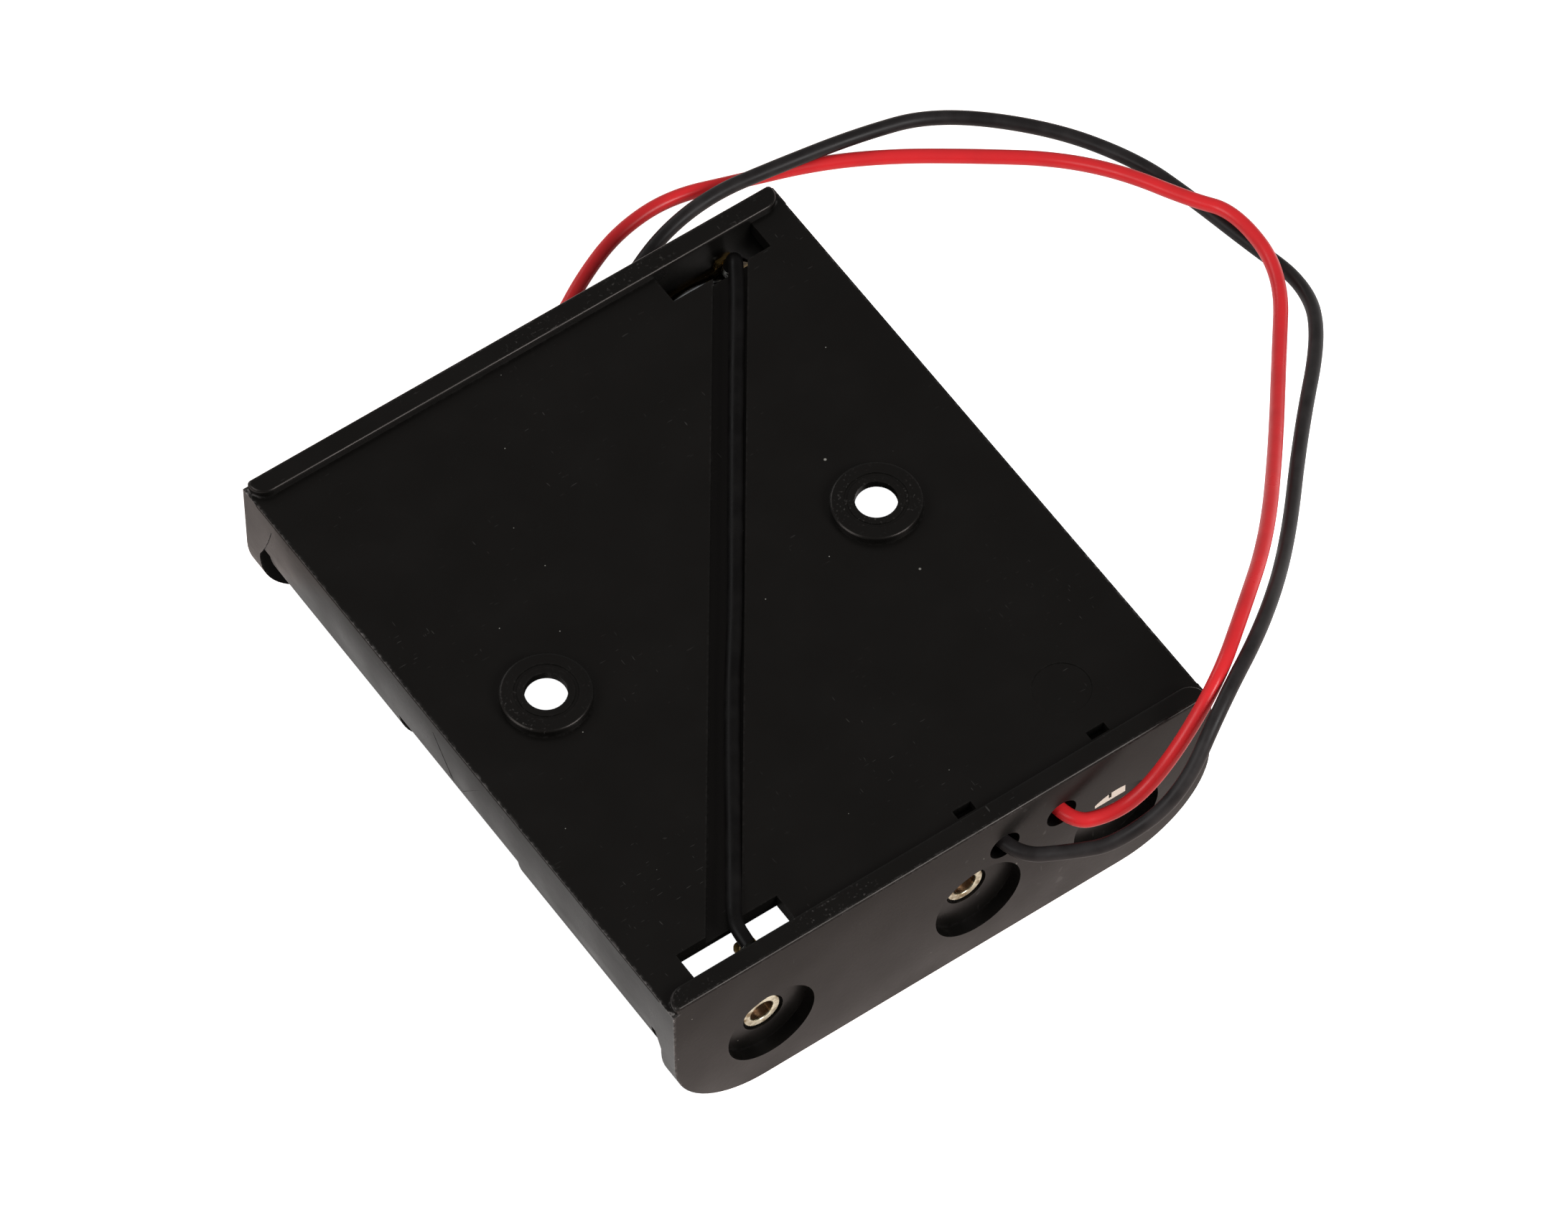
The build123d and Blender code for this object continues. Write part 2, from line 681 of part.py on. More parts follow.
# Leads: routes of their centre lines from the eyelets to the far side
red_route = [
    (red_exit[0], -half_inner, red_exit[1]),
    (red_exit[0], -29.9, red_exit[1]),
    (13.56, -30.99, 11.67),
    (16.35, -31.5, 13.09),
    (19.68, -31.51, 16.81),
    (24.14, -30.01, 20.03),
    (29.4, -25.73, 18.95),
    (36.69, -19.07, 14.6),
    (44.27, -10.03, 9.2),
    (51.29, -1.06, 4.51),
    (57.45, 6.82, 2.49),
    (58.08, 13.83, 2.07),
    (55.88, 16.94, 1.92),
    (53.15, 22, 1.96),
    (50.05, 26.7, 0.95),
    (45.42, 30.54, 0.62),
    (39.91, 34.47, 0.62),
    (34.53, 37.39, 0.62),
    (28.41, 39.51, 0.62),
    (23.17, 41.39, 0.62),
    (17.99, 40.95, 0.62),
    (13.33, 38.95, 0.62),
    (8.9, 36.16, 0.62),
    (3, 34.8, 0.62),
    (-3.5, 34.7, 0.62),
    (-9.5, 35, 0.62),
]
black_route = [
    (black_exit[0], -half_inner, black_exit[1]),
    (black_exit[0], -30.0, black_exit[1]),
    (9.41, -32.06, 11.72),
    (12.33, -33.61, 12.2),
    (17.39, -34.76, 15.77),
    (22.93, -32.07, 20.21),
    (30.29, -27.29, 18.6),
    (38.55, -19.31, 12.23),
    (47.79, -8.54, 6.58),
    (56.25, 0.18, 3.27),
    (58.94, 5.97, 0.83),
    (57.78, 11.65, 0.62),
    (56.68, 17.44, 0.62),
    (55.3, 23.14, 0.62),
    (51.46, 29.76, 0.62),
    (44.88, 36.02, 0.62),
    (38.13, 37.16, 1.72),
    (30.99, 38.1, 2.05),
    (25.57, 39.1, 1.61),
    (20.26, 38.62, 0.72),
    (14.99, 36.02, 0.62),
    (8.8, 32.2, 0.62),
    (2.8, 31.4, 0.62),
    (-3, 31.5, 0.62),
]
for name, route in (("lead_red", red_route), ("lead_black", black_route)):
    finish(name, tube(route, lead_diameter))
    end = Vector(*route[-1])
    with BuildPart() as tinned_end:
        with BuildSketch(Plane(origin=end, z_dir=end - Vector(*route[-2]))):
            Circle(strand_diameter / 2)
        extrude(amount=tinned_end_length)
    finish(f"{name}_tip", tinned_end)
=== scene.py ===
from math import cos, pi, sin

import bpy
from mathutils import Matrix, Vector


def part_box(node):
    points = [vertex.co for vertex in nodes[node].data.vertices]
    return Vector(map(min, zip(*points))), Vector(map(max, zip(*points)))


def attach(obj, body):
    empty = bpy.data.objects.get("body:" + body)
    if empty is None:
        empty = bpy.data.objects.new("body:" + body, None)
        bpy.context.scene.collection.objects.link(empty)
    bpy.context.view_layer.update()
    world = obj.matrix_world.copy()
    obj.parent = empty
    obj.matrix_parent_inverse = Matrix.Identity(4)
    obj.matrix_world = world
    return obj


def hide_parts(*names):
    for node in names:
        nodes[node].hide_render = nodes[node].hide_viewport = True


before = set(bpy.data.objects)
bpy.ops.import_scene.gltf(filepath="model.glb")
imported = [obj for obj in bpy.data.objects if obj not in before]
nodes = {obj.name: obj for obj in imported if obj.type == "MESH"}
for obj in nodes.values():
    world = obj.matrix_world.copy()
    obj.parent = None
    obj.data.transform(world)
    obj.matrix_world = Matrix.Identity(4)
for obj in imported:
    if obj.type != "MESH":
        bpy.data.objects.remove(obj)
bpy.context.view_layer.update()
scene = bpy.context.scene


# Tray: one black polypropylene moulding, standing upside down on the rims of its end walls.
# Its skin is smooth and semi-matt, with scuffed edges, hairline scratches and specks of dust.
# Its walls swell and sink a little, which is in the shading alone.
def shade(red, green, blue):
    """A colour given as it looks on the screen, from 0 to 1, as the shader's linear colour."""
    linear = (
        ((tone + 0.055) / 1.055) ** 2.4 if tone > 0.04045 else tone / 12.92
        for tone in (red, green, blue)
    )
    return (*linear, 1.0)


def new_material(name, color, roughness, metallic=0.0, specular=0.5):
    """A material with one principled shader, and that shader's node."""
    material = bpy.data.materials.new(name)
    material.use_nodes = True
    shader = material.node_tree.nodes["Principled BSDF"]
    shader.inputs["Base Color"].default_value = color
    shader.inputs["Roughness"].default_value = roughness
    shader.inputs["Metallic"].default_value = metallic
    shader.inputs["Specular IOR Level"].default_value = specular
    return material, shader


def add_node(material, kind, values=(), links=(), **settings):
    """A new node: its settings, the values of its sockets, and the outputs linked to them."""
    node = material.node_tree.nodes.new(kind)
    for key, value in settings.items():
        setattr(node, key, value)
    for socket, value in dict(values).items():
        node.inputs[socket].default_value = value
    for socket, output in dict(links).items():
        material.node_tree.links.new(output, node.inputs[socket])
    return node


def feed(material, shader, socket, output):
    """Drives a socket of a shader, or of another node, with an output."""
    material.node_tree.links.new(output, shader.inputs[socket])


def place(material, stretch=(1.0, 1.0, 1.0)):
    """The piece's own coordinates in metres, stretched for streaks."""
    coordinates = add_node(material, "ShaderNodeTexCoord").outputs["Object"]
    return add_node(
        material, "ShaderNodeMapping", {"Scale": stretch}, {"Vector": coordinates}
    ).outputs["Vector"]


def offsets(material, vector):
    """How far a vector is from nought along each axis."""
    positive = add_node(
        material, "ShaderNodeVectorMath", links={0: vector}, operation="ABSOLUTE"
    ).outputs[0]
    return add_node(material, "ShaderNodeSeparateXYZ", links={"Vector": positive}).outputs


def noise(material, where, size, detail=3.0):
    """Soft noise whose patches are about size metres across."""
    return add_node(
        material, "ShaderNodeTexNoise", {"Scale": 1 / size, "Detail": detail}, {"Vector": where}
    ).outputs["Fac"]


def ramp(material, value, low, high, bottom=0.0, top=1.0):
    """Value between low and high, drawn out to run from bottom to top and held there beyond."""
    return add_node(
        material,
        "ShaderNodeMapRange",
        {"From Min": low, "From Max": high, "To Min": bottom, "To Max": top},
        {"Value": value},
    ).outputs["Result"]


def times(material, a, b):
    """The product of two outputs."""
    return add_node(
        material, "ShaderNodeMath", links={0: a, 1: b}, operation="MULTIPLY"
    ).outputs[0]


def plus(material, a, b):
    """The sum of two outputs."""
    return add_node(material, "ShaderNodeMath", links={0: a, 1: b}, operation="ADD").outputs[0]


def most(material, a, b):
    """The larger of two outputs."""
    return add_node(material, "ShaderNodeMath", links={0: a, 1: b}, operation="MAXIMUM").outputs[0]


def edges_of(material, radius, flat, sharp):
    """0 on flat faces, 1 on sharp edges within radius; flat and sharp are cosines of the turn."""
    rounded = add_node(material, "ShaderNodeBevel", {"Radius": radius}, samples=6)
    normal = add_node(material, "ShaderNodeNewGeometry").outputs["Normal"]
    turned = add_node(
        material,
        "ShaderNodeVectorMath",
        links={0: rounded.outputs["Normal"], 1: normal},
        operation="DOT_PRODUCT",
    ).outputs["Value"]
    return ramp(material, turned, flat, sharp)


def tint(material, mask, below, above):
    """Below where the mask is 0 and above where it is 1; either is a colour or an output."""
    mix = add_node(material, "ShaderNodeMix", data_type="RGBA")
    material.node_tree.links.new(mask, mix.inputs["Factor"])
    for socket, color in ((mix.inputs[6], below), (mix.inputs[7], above)):
        if isinstance(color, tuple):
            socket.default_value = color
        else:
            material.node_tree.links.new(color, socket)
    return mix.outputs[2]


def faint(material, mask, strength):
    """A mask from 0 to 1, weakened to run from 0 to strength."""
    return ramp(material, mask, 0, 1, 0, strength)


def specks(material, where, spacing, size, share):
    """Round specks of a size in metres, one in some of the cells of a spacing."""
    cells = add_node(
        material, "ShaderNodeTexVoronoi", {"Scale": 1 / spacing}, {"Vector": where}
    ).outputs
    near = ramp(material, cells["Distance"], size / spacing, 0.4 * size / spacing)
    tone = add_node(
        material, "ShaderNodeSeparateColor", links={"Color": cells["Color"]}
    ).outputs["Red"]
    return times(material, near, ramp(material, tone, 1 - share, 1.001 - share))


def bulge(material, height, middle, curve, mask):
    """Relief in metres of a face that swells a little round a height, where the mask is 1."""
    off = add_node(
        material, "ShaderNodeMath", {1: middle}, {0: height}, operation="SUBTRACT"
    ).outputs[0]
    fall = add_node(
        material,
        "ShaderNodeMath",
        {1: -curve / 2},
        {0: times(material, off, off)},
        operation="MULTIPLY",
    ).outputs[0]
    return times(material, fall, mask)


def bump(material, shader, height, strength, depth, form=None):
    """Relief on the shader: a height from 0 to 1 over a depth in metres.

    It lies on a form, a relief given in metres, if there is one.
    """
    relief = add_node(
        material, "ShaderNodeBump", {"Strength": strength, "Distance": depth}, {"Height": height}
    )
    if form is not None:
        swell = add_node(
            material, "ShaderNodeBump", {"Strength": 1.0, "Distance": 1.0}, {"Height": form}
        )
        feed(material, relief, "Normal", swell.outputs["Normal"])
    feed(material, shader, "Normal", relief.outputs["Normal"])


def dress(node, material):
    """Gives a carried-over piece its material."""
    slots = nodes[node].data.materials
    slots.clear()
    slots.append(material)


# Where the marks of use and of moulding lie and how deep they are, in metres.
# A swell's curve is one over the radius of its face.
WORN_MARGIN = (0.001, 0.0005)
LIP_FOOT = (0.0143, 0.0147)
PROUD_FACES = (0.01575, 0.0159)
EDGE_WIDTH = 0.0004
SIDE_SWELL_NEAR_END = (-0.016, -0.006)
SIDE_SWELL_FAR_END = (0.0225, 0.0245)
SIDE_SWELL_HEIGHT = 0.0123
SIDE_SWELL_CURVE = 74.0
END_SWELL_HEIGHT = 0.0062
END_SWELL_CURVE = 18.0
SINK_DEPTH = 0.00009
GRAIN_DEPTH = 0.00004

plastic, tray_shader = new_material(
    "black_polypropylene", shade(0.05, 0.047, 0.043), 0.32, specular=0.18
)
tray_shader.inputs["Specular Tint"].default_value = (1.0, 0.9, 0.85, 1.0)
around = place(plastic)
spot = add_node(plastic, "ShaderNodeSeparateXYZ", links={"Vector": around}).outputs
off_middle = offsets(plastic, around)
corner = Vector(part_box("tray")[1])
outer, inner = WORN_MARGIN

# Edges worn pale along the lips, and less so along the sides
lip_edges = times(
    plastic,
    ramp(plastic, off_middle["Y"], corner.y - outer, corner.y - inner),
    ramp(plastic, spot["Z"], *LIP_FOOT),
)
side_edges = ramp(plastic, off_middle["X"], corner.x - outer, corner.x - inner, 0.02, 0.42)
edges = times(
    plastic, edges_of(plastic, EDGE_WIDTH, 0.97, 0.86), most(plastic, side_edges, lip_edges)
)
handled = ramp(plastic, noise(plastic, around, 0.009), 0.4, 0.6, 0.35, 1.0)
chipped = ramp(plastic, noise(plastic, around, 0.0004), 0.46, 0.6, 0.1, 1.0)
worn = times(plastic, edges, times(plastic, handled, chipped))

# Scuffs on the faces that stand proud, hairline scratches both ways, and dust
proud = ramp(plastic, spot["Z"], *PROUD_FACES)
scuffs = times(
    plastic,
    times(plastic, proud, ramp(plastic, noise(plastic, around, 0.00025), 0.6, 0.72)),
    ramp(plastic, noise(plastic, around, 0.006), 0.5, 0.65),
)
along = noise(plastic, place(plastic, (1.0, 9.0, 1.0)), 0.0011, 1.0)
across = noise(plastic, place(plastic, (7.0, 1.2, 1.0)), 0.0014, 1.0)
scratches = times(
    plastic,
    most(plastic, ramp(plastic, along, 0.745, 0.78), ramp(plastic, across, 0.75, 0.79)),
    ramp(plastic, noise(plastic, around, 0.011), 0.48, 0.62),
)
dust = most(
    plastic,
    specks(plastic, around, spacing=0.0034, size=0.00014, share=0.12),
    specks(plastic, around, spacing=0.0012, size=0.00006, share=0.12),
)

patches = noise(plastic, around, 0.02)
skin = tint(plastic, patches, shade(0.04, 0.037, 0.033), shade(0.052, 0.049, 0.045))
skin = tint(plastic, faint(plastic, worn, 0.8), skin, shade(0.66, 0.64, 0.63))
skin = tint(plastic, faint(plastic, scuffs, 0.16), skin, shade(0.5, 0.48, 0.47))
skin = tint(plastic, faint(plastic, scratches, 0.15), skin, shade(0.42, 0.41, 0.4))
skin = tint(plastic, faint(plastic, dust, 0.5), skin, shade(0.7, 0.69, 0.66))
feed(plastic, tray_shader, "Base Color", skin)
gloss = ramp(plastic, noise(plastic, around, 0.005), 0.3, 0.7, 0.26, 0.39)
matt = faint(plastic, most(plastic, worn, scuffs), 0.25)
feed(plastic, tray_shader, "Roughness", plus(plastic, gloss, matt))

# The side and end walls swell round a height, and the end walls sink in patches
facing = offsets(plastic, add_node(plastic, "ShaderNodeNewGeometry").outputs["True Normal"])
middle_stretch = times(
    plastic,
    ramp(plastic, spot["Y"], *SIDE_SWELL_NEAR_END, 0.3, 1.0),
    ramp(plastic, spot["Y"], *SIDE_SWELL_FAR_END, 1.0, 0.3),
)
side_walls = times(plastic, ramp(plastic, facing["X"], 0.6, 0.7), middle_stretch)
end_walls = ramp(plastic, facing["Y"], 0.9, 0.95)
swollen = plus(
    plastic,
    bulge(plastic, spot["Z"], SIDE_SWELL_HEIGHT, SIDE_SWELL_CURVE, side_walls),
    bulge(plastic, spot["Z"], END_SWELL_HEIGHT, END_SWELL_CURVE, end_walls),
)
sunk = ramp(plastic, noise(plastic, around, 0.008, 1.0), 0.25, 0.75, 0, SINK_DEPTH)
swollen = plus(plastic, swollen, times(plastic, sunk, end_walls))
grain = noise(plastic, around, 0.00035, 2.0)
bump(plastic, tray_shader, grain, strength=0.12, depth=GRAIN_DEPTH, form=swollen)
dress("tray", plastic)


# Contacts: five strips cut from thin plated brass sheet and folded round the ends of the cells.
# Each lies flat on the inner face of an end wall, under its rivet or its own folded clip.
ROLLING_MARKS = (1.0, 1.0, 14.0)
ROLLING_MARK_SIZE = 0.0009

# Heights between which a band of painted shade, where the slots look into the dark end walls,
# fades in at its foot and out at its top
PAINTED_SHADE_FOOT = (0.0095, 0.0108)
PAINTED_SHADE_TOP = (0.01235, 0.01215)

brass, brass_shader = new_material("plated_brass", shade(0.68, 0.56, 0.34), 0.3, metallic=1.0)
around = place(brass)
tarnish = ramp(brass, noise(brass, around, 0.003), 0.4, 0.7)
skin = tint(brass, tarnish, shade(0.74, 0.62, 0.38), shade(0.52, 0.41, 0.23))
level = add_node(brass, "ShaderNodeSeparateXYZ", links={"Vector": around}).outputs["Z"]
# Painted shade: the contacts are darkened in this band, standing for the shade inside the end
# walls
painted_shade_band = times(brass, ramp(brass, level, *PAINTED_SHADE_FOOT), ramp(brass, level, *PAINTED_SHADE_TOP))
skin = tint(brass, faint(brass, painted_shade_band, 0.9), skin, shade(0.13, 0.1, 0.07))
feed(brass, brass_shader, "Base Color", skin)
rolled = noise(brass, place(brass, ROLLING_MARKS), ROLLING_MARK_SIZE)
feed(brass, brass_shader, "Roughness", ramp(brass, rolled, 0.3, 0.7, 0.2, 0.38))
bump(brass, brass_shader, rolled, strength=0.1, depth=0.00002)
for node in ("plus_plate_near_1", "spring_plate_near_2", "bridge_plate_far", "spring_plate_far_3"):
    dress(node, brass)

nickel, nickel_shader = new_material("nickel_sheet", shade(0.86, 0.84, 0.80), 0.26, metallic=1.0)
rolled = noise(nickel, place(nickel, ROLLING_MARKS), ROLLING_MARK_SIZE)
feed(nickel, nickel_shader, "Roughness", ramp(nickel, rolled, 0.3, 0.7, 0.2, 0.4))
bump(nickel, nickel_shader, rolled, strength=0.12, depth=0.00002)
dress("plus_plate_near_3", nickel)


# Springs: conical coils of nickel-plated steel wire, their wide end held down by two lugs.
# Each starts with a flat turn on its contact and winds up to a narrow cut end.
SPRING_WIRE = 0.00065
SPRING_BASE = 0.0104
SPRING_TIP = 0.0056
SPRING_RISE = 0.0064
SPRING_TURNS = 3.5
POINTS_A_TURN = 20


def wire(name, lines, thickness, material, node, order=4, steps=(6, 4)):
    """Round wires along lines of points, one piece in place of a plain solid.

    The steps say how finely a wire is cut along its line and round it.
    """
    curve = bpy.data.curves.new(name, "CURVE")
    curve.dimensions = "3D"
    curve.resolution_u, curve.bevel_resolution = steps
    curve.bevel_depth = thickness / 2
    curve.use_fill_caps = True
    for line in lines:
        spline = curve.splines.new("NURBS")
        spline.points.add(len(line) - 1)
        for knot, point in zip(spline.points, line):
            knot.co = (*point, 1.0)
        spline.order_u = order
        spline.use_endpoint_u = True
    curve.materials.append(material)
    piece = bpy.data.objects.new(name, curve)
    scene.collection.objects.link(piece)
    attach(piece, "root")
    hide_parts(node)
    return piece


def coil(center, side):
    """Points of a spring whose flat turn lies round a centre on its contact.

    The side is -1 at the near end and 1 at the far one.
    """
    points = []
    rising_steps = SPRING_TURNS * POINTS_A_TURN
    for step in range(2 - POINTS_A_TURN, round(rising_steps) + 1):
        climb = max(0, step) / rising_steps
        radius = (SPRING_BASE + (SPRING_TIP - SPRING_BASE) * climb) / 2
        turn = 2 * pi * step / POINTS_A_TURN
        out = SPRING_WIRE / 2 + SPRING_RISE * climb
        points.append(
            center + Vector((-side * radius * cos(turn), -side * out, -radius * sin(turn)))
        )
    return points


spring_steel, spring_shader = new_material(
    "spring_wire", shade(0.76, 0.77, 0.78), 0.24, metallic=1.0
)
drawn = noise(spring_steel, place(spring_steel), 0.0005)
dull = ramp(spring_steel, drawn, 0.35, 0.7)
skin = tint(spring_steel, dull, shade(0.78, 0.79, 0.80), shade(0.62, 0.62, 0.62))
feed(spring_steel, spring_shader, "Base Color", skin)
bump(spring_steel, spring_shader, drawn, strength=0.15, depth=0.00002)
for node, side in (("spring_near_2", -1), ("spring_far_1", 1), ("spring_far_3", 1)):
    low, high = (Vector(corner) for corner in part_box(node))
    middle = (low + high) / 2
    seat = Vector((middle.x, high.y if side > 0 else low.y, middle.z))
    wire(f"{node}_wire", [coil(seat, side)], SPRING_WIRE, spring_steel, node)


# Rivets: nickel-plated tubes, rolled over in their pockets, with a closed head under the cell.
# The rolled lip shows dull marks of the setting tool, and the bore inside it is coloured a darker
# brown.

# Distances from the tray's middle between which the darker brown fades in at the floor and out at
# the lip
BORE_FLOOR = (0.02665, 0.02669)
BORE_MOUTH = (0.02746, 0.02728)

rivet_metal, rivet_shader = new_material(
    "rivet_nickel", shade(0.84, 0.79, 0.70), 0.24, metallic=1.0
)
around = place(rivet_metal)
setting = noise(rivet_metal, around, 0.0007)
dull = ramp(rivet_metal, setting, 0.4, 0.65)
skin = tint(rivet_metal, dull, shade(0.87, 0.86, 0.77), shade(0.56, 0.5, 0.39))
reach = offsets(rivet_metal, around)["Y"]
bore = times(
    rivet_metal, ramp(rivet_metal, reach, *BORE_FLOOR), ramp(rivet_metal, reach, *BORE_MOUTH)
)
skin = tint(rivet_metal, faint(rivet_metal, bore, 0.85), skin, shade(0.5, 0.41, 0.34))
feed(rivet_metal, rivet_shader, "Base Color", skin)
feed(rivet_metal, rivet_shader, "Roughness", ramp(rivet_metal, setting, 0.3, 0.7, 0.16, 0.42))
bump(rivet_metal, rivet_shader, setting, strength=0.3, depth=0.00004)
for node in ("rivet_near_1", "rivet_near_2", "rivet_far_1", "rivet_far_2", "rivet_far_3"):
    dress(node, rivet_metal)


# Jumper: a short black insulated wire in the groove, its ends dipping into the two slots.
# It joins the first cell's contact to the third cell's spring.
def insulation(name, fresh, rubbed, specular, sheen):
    """Soft plastic on a wire, fresh in places and rubbed in others, with a range of sheen."""
    material, shader = new_material(name, fresh, sheen[0], specular=specular)
    around = place(material)
    handled = noise(material, around, 0.0026)
    skin = tint(material, ramp(material, handled, 0.42, 0.75), fresh, rubbed)
    feed(material, shader, "Base Color", skin)
    feed(material, shader, "Roughness", ramp(material, handled, 0.3, 0.7, *sheen))
    bump(material, shader, noise(material, around, 0.0006), strength=0.18, depth=0.00004)
    return material


jumper_insulation = insulation(
    "jumper_insulation", shade(0.042, 0.037, 0.036), shade(0.075, 0.07, 0.068),
    specular=0.08, sheen=(0.36, 0.5),
)
dress("jumper_wire", jumper_insulation)


# Solder: bright drops of tin where the jumper and the leads meet their contacts.
# They cooled with a fine crystalline frost.
solder, solder_shader = new_material("tin_solder", shade(0.80, 0.80, 0.78), 0.25, metallic=1.0)
frost = noise(solder, place(solder), 0.0003)
feed(solder, solder_shader, "Roughness", ramp(solder, frost, 0.35, 0.7, 0.18, 0.45))
bump(solder, solder_shader, frost, strength=0.25, depth=0.00003)
for node in ("jumper_solder_near", "jumper_solder_far", "lead_solder_red", "lead_solder_black"):
    dress(node, solder)


# Leads: two stranded wires in soft plastic insulation, red for plus and black for minus.
# They leave the two holes of the near wall, turn right along it and lie in a wide loop.
LEAD_DIAMETER = 0.0012
TINNED_LENGTH = 0.005
STRAND = 0.00023
OUTER_STRANDS = 6
STRAND_STEPS = 12
TWISTS = 0.8
TUCKED_IN = 0.0004
RAGGED = 0.00008

# Centre lines in millimetres, from inside the near wall to the end of the insulation
RED_ROUTE = [
    (10.7, -27.0, 11.7),
    (10.7, -29.9, 11.7),
    (13.56, -30.99, 11.67),
    (16.35, -31.5, 13.09),
    (19.68, -31.51, 16.81),
    (24.14, -30.01, 20.03),
    (29.4, -25.73, 18.95),
    (36.69, -19.07, 14.6),
    (44.27, -10.03, 9.2),
    (51.29, -1.06, 4.51),
    (57.45, 6.82, 2.49),
    (58.08, 13.83, 2.07),
    (55.88, 16.94, 1.92),
    (53.15, 22, 1.96),
    (50.05, 26.7, 0.95),
    (45.42, 30.54, 0.62),
    (39.91, 34.47, 0.62),
    (34.53, 37.39, 0.62),
    (28.41, 39.51, 0.62),
    (23.17, 41.39, 0.62),
    (17.99, 40.95, 0.62),
    (13.33, 38.95, 0.62),
    (8.9, 36.16, 0.62),
    (3, 34.8, 0.62),
    (-3.5, 34.7, 0.62),
    (-9.5, 35, 0.62),
]
BLACK_ROUTE = [
    (5.5, -27.0, 11.9),
    (5.5, -30.0, 11.9),
    (9.41, -32.06, 11.72),
    (12.33, -33.61, 12.2),
    (17.39, -34.76, 15.77),
    (22.93, -32.07, 20.21),
    (30.29, -27.29, 18.6),
    (38.55, -19.31, 12.23),
    (47.79, -8.54, 6.58),
    (56.25, 0.18, 3.27),
    (58.94, 5.97, 0.83),
    (57.78, 11.65, 0.62),
    (56.68, 17.44, 0.62),
    (55.3, 23.14, 0.62),
    (51.46, 29.76, 0.62),
    (44.88, 36.02, 0.62),
    (38.13, 37.16, 1.72),
    (30.99, 38.1, 2.05),
    (25.57, 39.1, 1.61),
    (20.26, 38.62, 0.72),
    (14.99, 36.02, 0.62),
    (8.8, 32.2, 0.62),
    (2.8, 31.4, 0.62),
    (-3, 31.5, 0.62),
]


def strands(node, route, material):
    """The seven tinned strands that stick out of a lead's end, twisted together."""
    end = Vector(route[-1]) / 1000
    ahead = (end - Vector(route[-2]) / 1000).normalized()
    across = ahead.cross(Vector((0, 0, 1))).normalized()
    up = across.cross(ahead)
    lines = [[end + ahead * reach for reach in (-TUCKED_IN, 0.002, 0.004, TINNED_LENGTH)]]
    for number in range(OUTER_STRANDS):
        lines.append([])
        for step in range(STRAND_STEPS + 1):
            share = step / STRAND_STEPS
            along = TINNED_LENGTH * share - TUCKED_IN * (1 - share) - RAGGED * (number % 3) * share
            turn = 2 * pi * (number / OUTER_STRANDS + TWISTS * share)
            ring = (across * cos(turn) + up * sin(turn)) * STRAND
            lines[-1].append(end + ahead * along + ring)
    return wire(f"{node}_strands", lines, STRAND, material, f"{node}_tip")


def lead(name, node, route, material):
    """A lead on a smooth line through its route, in place of its plain tube."""
    line = [tuple(c / 1000 for c in point) for point in route]
    piece = wire(name, [line], LEAD_DIAMETER, material, node, order=3, steps=(16, 6))


red_insulation = insulation(
    "red_insulation", shade(0.795, 0.155, 0.17), shade(0.755, 0.145, 0.16),
    specular=0.2, sheen=(0.25, 0.38),
)
black_insulation = insulation(
    "black_insulation", shade(0.115, 0.105, 0.105), shade(0.175, 0.165, 0.165),
    specular=0.14, sheen=(0.36, 0.5),
)
tinned, tinned_shader = new_material(
    "tinned_strands", shade(0.82, 0.81, 0.78), 0.28, metallic=1.0
)
dipped = noise(tinned, place(tinned), 0.0005)
feed(tinned, tinned_shader, "Roughness", ramp(tinned, dipped, 0.3, 0.7, 0.2, 0.45))
bump(tinned, tinned_shader, dipped, strength=0.2, depth=0.00003)
red_ends = strands("lead_red", RED_ROUTE, tinned)
black_ends = strands("lead_black", BLACK_ROUTE, tinned)
lead("red_lead", "lead_red", RED_ROUTE, red_insulation)
lead(
    "black_lead", "lead_black", BLACK_ROUTE, black_insulation,
)


# Table: a white sweep that runs into a white background without a shadow.
# It is white to the camera, bright to reflections beside the tray, and lit as paper otherwise:
# a little warmer before the tray's end walls, and painted dark under the tray as painted shade.
TABLE_WIDTH = 6.0
SHADE_MARGIN = 0.002
MIRRORED_WHITE = 0.28

sweep, paper = new_material("white_sweep", shade(0.93, 0.93, 0.93), 0.7, specular=0.2)
rays = add_node(sweep, "ShaderNodeLightPath").outputs
floor_spot = offsets(sweep, place(sweep))
corner = Vector(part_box("tray")[1])
at_sides = ramp(sweep, floor_spot["X"], corner.x - SHADE_MARGIN, corner.x)
at_ends = ramp(sweep, floor_spot["Y"], corner.y - SHADE_MARGIN, corner.y)
beside = most(sweep, at_sides, at_ends)
paper_tone = tint(sweep, at_ends, shade(0.93, 0.925, 0.92), shade(0.93, 0.875, 0.85))
# Painted shade: the paper under the tray is darkened, standing for the tray's shadow
paper_tone = tint(sweep, beside, shade(0.35, 0.34, 0.33), paper_tone)
feed(sweep, paper, "Base Color", paper_tone)
mirrored = times(sweep, faint(sweep, rays["Is Glossy Ray"], MIRRORED_WHITE), beside)
seen = most(sweep, rays["Is Camera Ray"], mirrored)
cast = tint(sweep, at_ends, (1.0, 0.945, 0.915, 1.0), (1.0, 0.9, 0.86, 1.0))
cast = tint(sweep, rays["Is Camera Ray"], cast, (1.0, 1.0, 1.0, 1.0))
glow = add_node(sweep, "ShaderNodeEmission", links={"Strength": seen, "Color": cast})
both = add_node(
    sweep, "ShaderNodeAddShader", links={0: paper.outputs[0], 1: glow.outputs[0]}
)
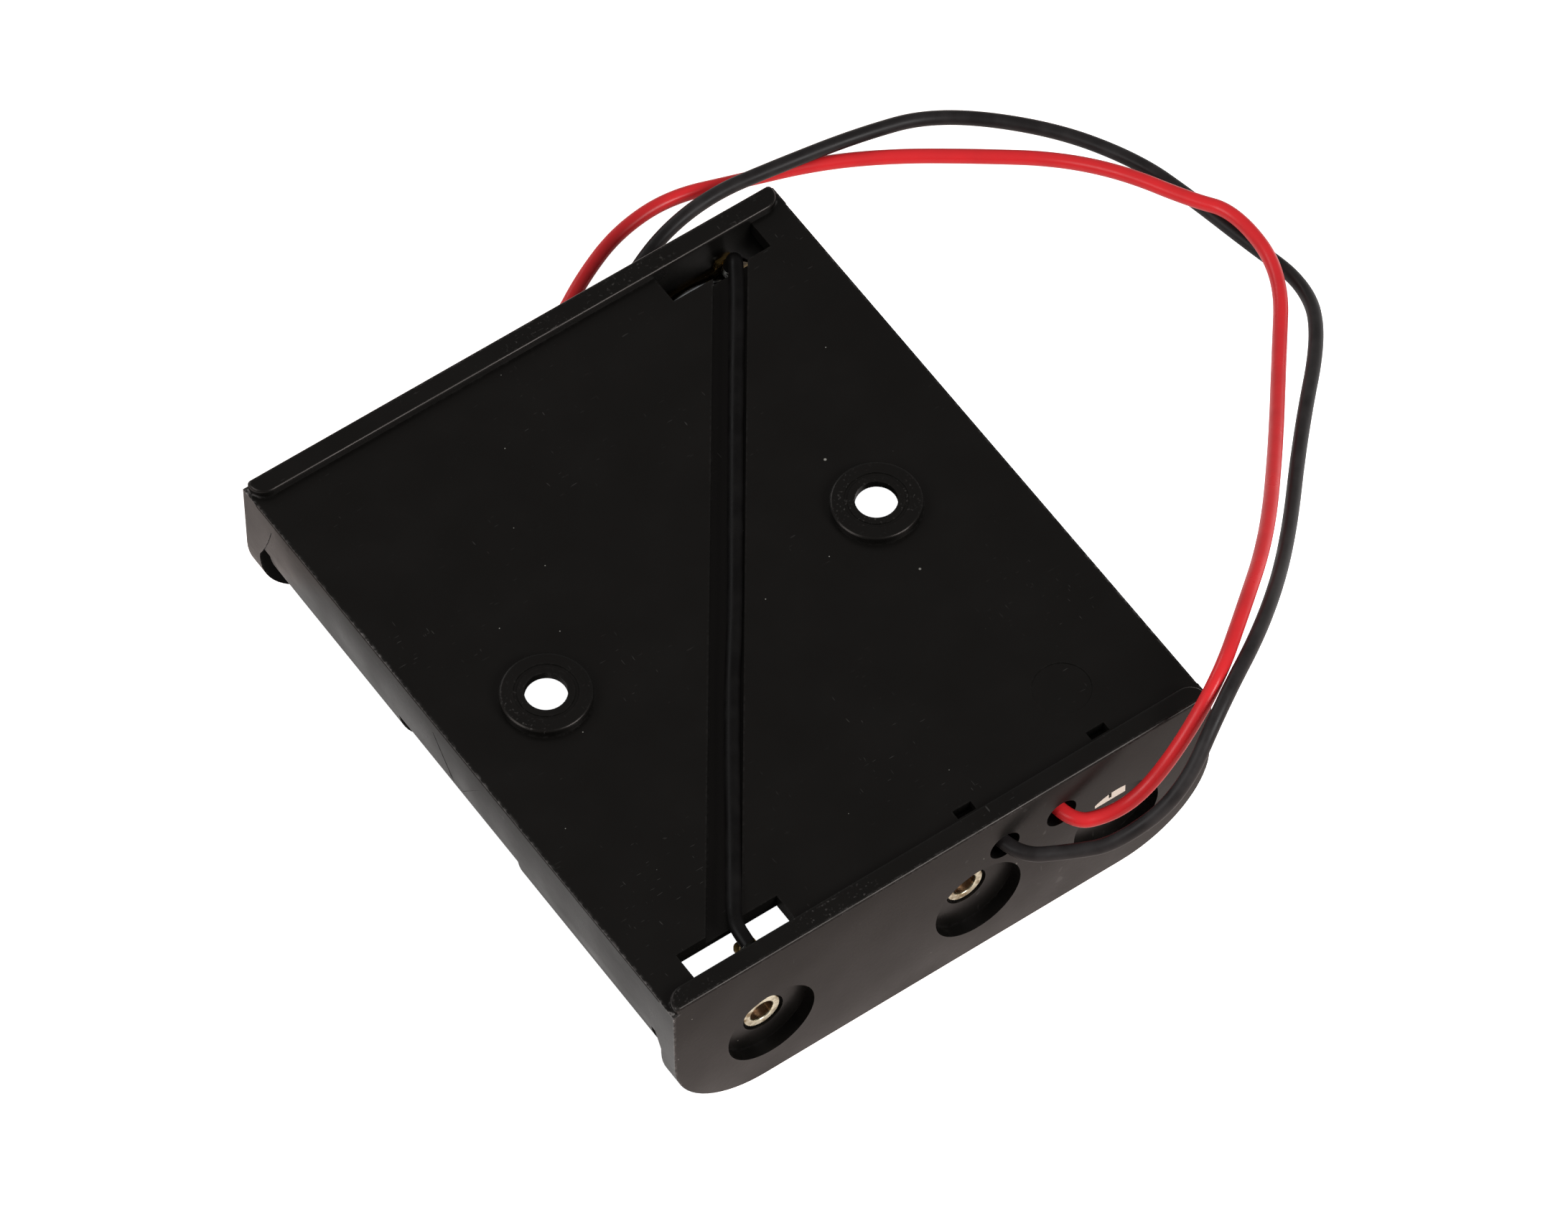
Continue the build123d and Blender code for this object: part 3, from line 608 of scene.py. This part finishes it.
feed(sweep, sweep.node_tree.nodes["Material Output"], "Surface", both.outputs[0])
bpy.ops.mesh.primitive_plane_add(size=TABLE_WIDTH, location=(0, 0, 0))
table = bpy.context.object
table.name = "table"
table.data.materials.append(sweep)


# Light: a dim white surround that looks white to the camera, with three square soft lamps.
# The strongest stands at the left, a small one in front and a weak one behind.
SURROUND = 0.28
AIM = Vector((0.0, 0.0, 0.005))

world = bpy.data.worlds.new("studio")
scene.world = world
world.use_nodes = True
background = world.node_tree.nodes["Background"]
background.inputs["Color"].default_value = (1, 1, 1, 1)
rays = add_node(world, "ShaderNodeLightPath").outputs
feed(world, background, "Strength", ramp(world, rays["Is Camera Ray"], 0, 1, SURROUND, 1.0))


def lamp(name, where, size, power):
    """A square soft lamp at a place in metres, turned to the tray."""
    light = bpy.data.lights.new(name, "AREA")
    light.size = size
    light.energy = power
    piece = bpy.data.objects.new(name, light)
    scene.collection.objects.link(piece)
    piece.location = where
    piece.rotation_euler = (Vector(where) - AIM).to_track_quat("Z", "Y").to_euler()


lamp("lamp_left", (-0.75, 0.1, 0.55), size=0.5, power=4.4)
lamp("lamp_right", (0.16, -0.36, 0.3), size=0.2, power=2.1)
lamp("lamp_back", (-0.1, 0.9, 0.5), size=0.4, power=1.6)


# Camera: where the photograph was taken from, above the near left corner.
# Its lens, place and turn were fitted to the tray's corners, boss holes and slots.
CAMERA_PLACE = (-0.27575, -0.41353, 0.76065)

camera_data = bpy.data.cameras.new("camera")
camera_data.sensor_width = 36.0
camera_data.sensor_fit = "HORIZONTAL"
camera_data.lens = 273.1
camera_data.clip_start = 0.01
camera = bpy.data.objects.new("camera", camera_data)
scene.collection.objects.link(camera)
side_axis = Vector((0.82099, -0.57090, -0.00697))
up_axis = Vector((0.47849, 0.68134, 0.55391))
back_axis = Vector((-0.31148, -0.45809, 0.83255))
turn = Matrix((side_axis, up_axis, back_axis)).transposed()
camera.matrix_world = Matrix.Translation(CAMERA_PLACE) @ turn.to_4x4()
scene.camera = camera

scene.view_settings.view_transform = "Standard"
